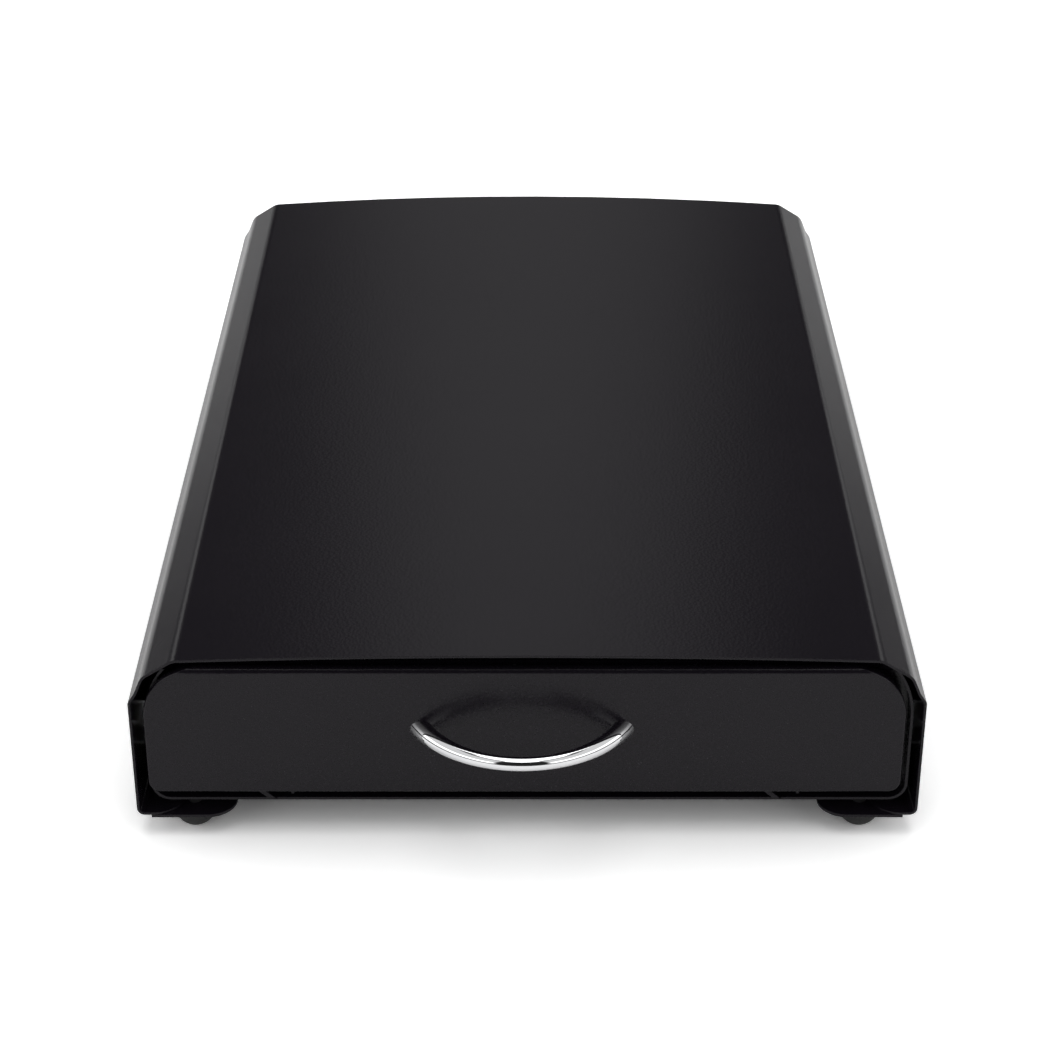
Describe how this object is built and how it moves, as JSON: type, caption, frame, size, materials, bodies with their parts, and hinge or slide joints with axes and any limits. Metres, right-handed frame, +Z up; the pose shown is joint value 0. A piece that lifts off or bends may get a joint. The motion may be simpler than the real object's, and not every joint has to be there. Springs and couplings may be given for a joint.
{
  "type": "coffee pod drawer",
  "caption": "Low sheet-steel casing with a domed top, stepped shoulders and rubber feet; a full-width drawer on roller slides with an arched handle and a rail rack for pods.",
  "frame": {"origin": "middle of the closed object's bounding box, on the surface that the feet stand on", "axes": "+X to the object's right side seen from the front, +Y to the back, so the drawer opens along -Y, +Z up"},
  "size_m": [0.305, 0.4848, 0.0853],
  "materials": {
    "black_powder_coat": "satin, fine texture",
    "black_wire": "satin",
    "zinc_plated_steel": "satin",
    "bright_steel": "bright",
    "chrome_plate": "polished",
    "black_rubber": "matt",
    "white_nylon": "smooth"
  },
  "bodies": {
    "casing": {"casing_cover": "black_powder_coat", "casing_back": "black_powder_coat", "foot_plate_front_left": "black_powder_coat", "foot_plate_front_right": "black_powder_coat", "foot_plate_rear_left": "black_powder_coat", "foot_plate_rear_right": "black_powder_coat", "rubber_foot_front_left": "black_rubber", "rubber_foot_front_right": "black_rubber", "rubber_foot_rear_left": "black_rubber", "rubber_foot_rear_right": "black_rubber", "casing_channel_left": "zinc_plated_steel", "casing_channel_right": "zinc_plated_steel", "front_axle_left": "bright_steel", "front_axle_right": "bright_steel", "closing_bumper_left": "black_rubber", "closing_bumper_right": "black_rubber"},
    "drawer": {"drawer_front": "black_powder_coat", "drawer_backing": "black_powder_coat", "drawer_handle": "chrome_plate", "handle_screws": "bright_steel", "handle_spacers": "bright_steel", "drawer_tray": "black_powder_coat", "tray_back": "black_powder_coat", "pod_rail_1": "black_wire", "pod_rail_2": "black_wire", "pod_rail_3": "black_wire", "pod_rail_4": "black_wire", "pod_rail_5": "black_wire", "pod_rail_6": "black_wire", "rail_cross_bar_front": "black_wire", "rail_cross_bar_rear": "black_wire", "drawer_runner_left": "zinc_plated_steel", "drawer_runner_right": "zinc_plated_steel", "rear_axle_left": "bright_steel", "rear_axle_right": "bright_steel"},
    "front_roller_left": {"front_roller_left": "white_nylon"},
    "front_roller_right": {"front_roller_right": "white_nylon"},
    "rear_roller_left": {"rear_roller_left": "white_nylon"},
    "rear_roller_right": {"rear_roller_right": "white_nylon"}
  },
  "joints": [
    {"name": "drawer_slide", "type": "slide", "parent": "casing", "child": "drawer", "axis": [0, -1, 0], "range_m": [0, 0.331]},
    {"name": "front_roller_left_spin", "type": "hinge", "parent": "casing", "child": "front_roller_left", "pos_m": [-0.1458, -0.17285, 0.0318], "axis": [1, 0, 0], "continuous": true},
    {"name": "rear_roller_left_spin", "type": "hinge", "parent": "drawer", "child": "rear_roller_left", "pos_m": [-0.1437, 0.21305, 0.0324], "axis": [1, 0, 0], "continuous": true},
    {"name": "front_roller_right_spin", "type": "hinge", "parent": "casing", "child": "front_roller_right", "pos_m": [0.1458, -0.17285, 0.0318], "axis": [1, 0, 0], "continuous": true},
    {"name": "rear_roller_right_spin", "type": "hinge", "parent": "drawer", "child": "rear_roller_right", "pos_m": [0.1437, 0.21305, 0.0324], "axis": [1, 0, 0], "continuous": true}
  ],
  "couplings": [
    {"joint": "front_roller_left_spin", "follows": "drawer_slide", "rad_per_m": 125},
    {"joint": "rear_roller_left_spin", "follows": "drawer_slide", "rad_per_m": 116.28},
    {"joint": "front_roller_right_spin", "follows": "drawer_slide", "rad_per_m": 125},
    {"joint": "rear_roller_right_spin", "follows": "drawer_slide", "rad_per_m": 116.28}
  ]
}
